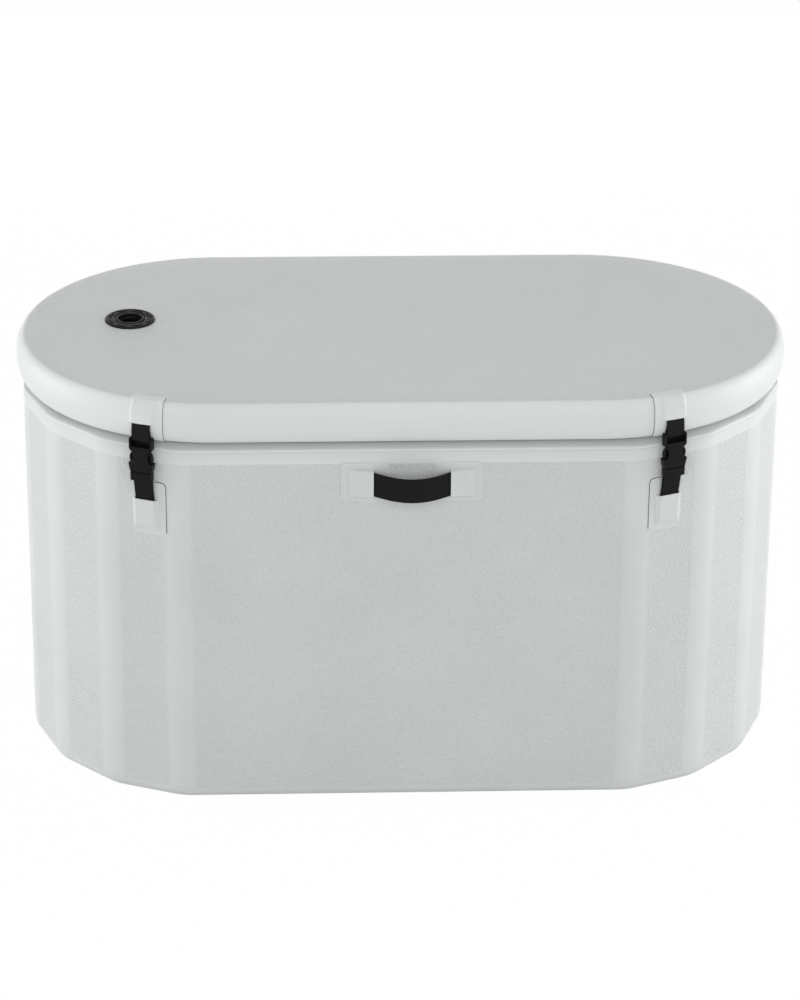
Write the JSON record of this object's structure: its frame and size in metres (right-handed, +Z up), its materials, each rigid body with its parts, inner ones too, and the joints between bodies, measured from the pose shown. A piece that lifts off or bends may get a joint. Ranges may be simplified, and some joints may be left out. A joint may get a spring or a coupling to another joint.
{
  "type": "cold plunge tub",
  "caption": "Long inflatable cold plunge tub with flat panels round its ends, a padded lid held by buckled straps, carry handles, inflation valves and a drain.",
  "frame": {"origin": "on the ground, under the middle of the tub's footprint", "axes": "+X along the tub's length to the right as seen from the front, -Y out of the front, +Z up"},
  "size_m": [1.53, 0.837, 0.8668],
  "materials": {
    "white_pvc": "satin",
    "liner_pvc": "satin",
    "drop_stitch": "matte",
    "black_webbing": "matte",
    "black_plastic": "satin",
    "black_rubber": "matte",
    "spring_steel": "satin"
  },
  "bodies": {
    "tub": {"base_sheet": "white_pvc", "wall_core": "drop_stitch", "wall_outer_skin": "white_pvc", "inner_liner": "liner_pvc", "floor_core": "drop_stitch", "rim_tape": "white_pvc", "front_right_buckle_plug": "black_plastic", "front_right_lower_webbing": "black_webbing", "front_right_tub_patch": "white_pvc", "front_left_buckle_plug": "black_plastic", "front_left_lower_webbing": "black_webbing", "front_left_tub_patch": "white_pvc", "rear_right_buckle_plug": "black_plastic", "rear_right_lower_webbing": "black_webbing", "rear_right_tub_patch": "white_pvc", "rear_left_buckle_plug": "black_plastic", "rear_left_lower_webbing": "black_webbing", "rear_left_tub_patch": "white_pvc", "front_handle_patch_a": "white_pvc", "front_handle_patch_b": "white_pvc", "front_handle_webbing": "black_webbing", "rear_handle_patch_a": "white_pvc", "rear_handle_patch_b": "white_pvc", "rear_handle_webbing": "black_webbing", "wall_valve_flange": "black_plastic", "wall_valve_body": "black_plastic", "wall_valve_spring": "spring_steel", "drain_fitting": "black_plastic", "drain_gasket": "black_rubber", "drain_nut": "black_plastic"},
    "lid": {"lid_core": "drop_stitch", "lid_top_sheet": "white_pvc", "lid_bottom_sheet": "white_pvc", "lid_side_band": "white_pvc", "front_right_lid_patch": "white_pvc", "front_right_upper_webbing": "black_webbing", "front_right_buckle_socket": "black_plastic", "front_left_lid_patch": "white_pvc", "front_left_upper_webbing": "black_webbing", "front_left_buckle_socket": "black_plastic", "rear_right_lid_patch": "white_pvc", "rear_right_upper_webbing": "black_webbing", "rear_right_buckle_socket": "black_plastic", "rear_left_lid_patch": "white_pvc", "rear_left_upper_webbing": "black_webbing", "rear_left_buckle_socket": "black_plastic", "lid_valve_flange": "black_plastic", "lid_valve_body": "black_plastic", "lid_valve_spring": "spring_steel"},
    "front_right_latch_arm_a": {"front_right_latch_arm_a": "black_plastic"},
    "front_right_latch_arm_b": {"front_right_latch_arm_b": "black_plastic"},
    "front_left_latch_arm_a": {"front_left_latch_arm_a": "black_plastic"},
    "front_left_latch_arm_b": {"front_left_latch_arm_b": "black_plastic"},
    "rear_right_latch_arm_a": {"rear_right_latch_arm_a": "black_plastic"},
    "rear_right_latch_arm_b": {"rear_right_latch_arm_b": "black_plastic"},
    "rear_left_latch_arm_a": {"rear_left_latch_arm_a": "black_plastic"},
    "rear_left_latch_arm_b": {"rear_left_latch_arm_b": "black_plastic"},
    "lid_valve_plunger": {"lid_valve_plunger": "black_plastic"},
    "wall_valve_plunger": {"wall_valve_plunger": "black_plastic"},
    "drain_cap": {"drain_cap": "black_plastic"}
  },
  "joints": [
    {"name": "lid_lift", "type": "slide", "parent": "tub", "child": "lid", "axis": [0, 0, 1], "range_m": [0, 0.3], "deforming": ["front_right_latch_arm_a", "front_right_latch_arm_b", "front_left_latch_arm_a", "front_left_latch_arm_b", "rear_right_latch_arm_a", "rear_right_latch_arm_b", "rear_left_latch_arm_a", "rear_left_latch_arm_b"]},
    {"name": "front_right_squeeze_a", "type": "hinge", "parent": "tub", "child": "front_right_latch_arm_a", "pos_m": [0.52211, -0.36746, 0.7208], "axis": [0.3827, -0.9239, 0], "range_deg": [0, 12], "stiffness_Nm_per_rad": 0.005, "springref_deg": -5.73},
    {"name": "front_right_squeeze_b", "type": "hinge", "parent": "tub", "child": "front_right_latch_arm_b", "pos_m": [0.49902, -0.37703, 0.7208], "axis": [-0.3827, 0.9239, 0], "range_deg": [0, 12], "stiffness_Nm_per_rad": 0.005, "springref_deg": -5.73},
    {"name": "front_left_squeeze_a", "type": "hinge", "parent": "tub", "child": "front_left_latch_arm_a", "pos_m": [-0.49902, -0.37703, 0.7208], "axis": [-0.3827, -0.9239, 0], "range_deg": [0, 12], "stiffness_Nm_per_rad": 0.005, "springref_deg": -5.73},
    {"name": "front_left_squeeze_b", "type": "hinge", "parent": "tub", "child": "front_left_latch_arm_b", "pos_m": [-0.52211, -0.36746, 0.7208], "axis": [0.3827, 0.9239, 0], "range_deg": [0, 12], "stiffness_Nm_per_rad": 0.005, "springref_deg": -5.73},
    {"name": "rear_right_squeeze_a", "type": "hinge", "parent": "tub", "child": "rear_right_latch_arm_a", "pos_m": [0.49902, 0.37703, 0.7208], "axis": [0.3827, 0.9239, 0], "range_deg": [0, 12], "stiffness_Nm_per_rad": 0.005, "springref_deg": -5.73},
    {"name": "rear_right_squeeze_b", "type": "hinge", "parent": "tub", "child": "rear_right_latch_arm_b", "pos_m": [0.52211, 0.36746, 0.7208], "axis": [-0.3827, -0.9239, 0], "range_deg": [0, 12], "stiffness_Nm_per_rad": 0.005, "springref_deg": -5.73},
    {"name": "rear_left_squeeze_a", "type": "hinge", "parent": "tub", "child": "rear_left_latch_arm_a", "pos_m": [-0.52211, 0.36746, 0.7208], "axis": [-0.3827, 0.9239, 0], "range_deg": [0, 12], "stiffness_Nm_per_rad": 0.005, "springref_deg": -5.73},
    {"name": "rear_left_squeeze_b", "type": "hinge", "parent": "tub", "child": "rear_left_latch_arm_b", "pos_m": [-0.49902, 0.37703, 0.7208], "axis": [0.3827, -0.9239, 0], "range_deg": [0, 12], "stiffness_Nm_per_rad": 0.005, "springref_deg": -5.73},
    {"name": "lid_valve_press", "type": "slide", "parent": "lid", "child": "lid_valve_plunger", "axis": [0, 0, -1], "range_m": [0, 0.006], "stiffness_N_per_m": 40, "springref_m": -0.004, "deforming": ["lid_valve_spring"]},
    {"name": "wall_valve_press", "type": "slide", "parent": "tub", "child": "wall_valve_plunger", "axis": [0, -1, 0], "range_m": [0, 0.006], "stiffness_N_per_m": 40, "springref_m": -0.004, "deforming": ["wall_valve_spring"]},
    {"name": "drain_cap_turn", "type": "hinge", "parent": "tub", "child": "drain_cap", "pos_m": [0.3, 0.4, 0.112], "axis": [0, 1, 0], "continuous": true}
  ]
}
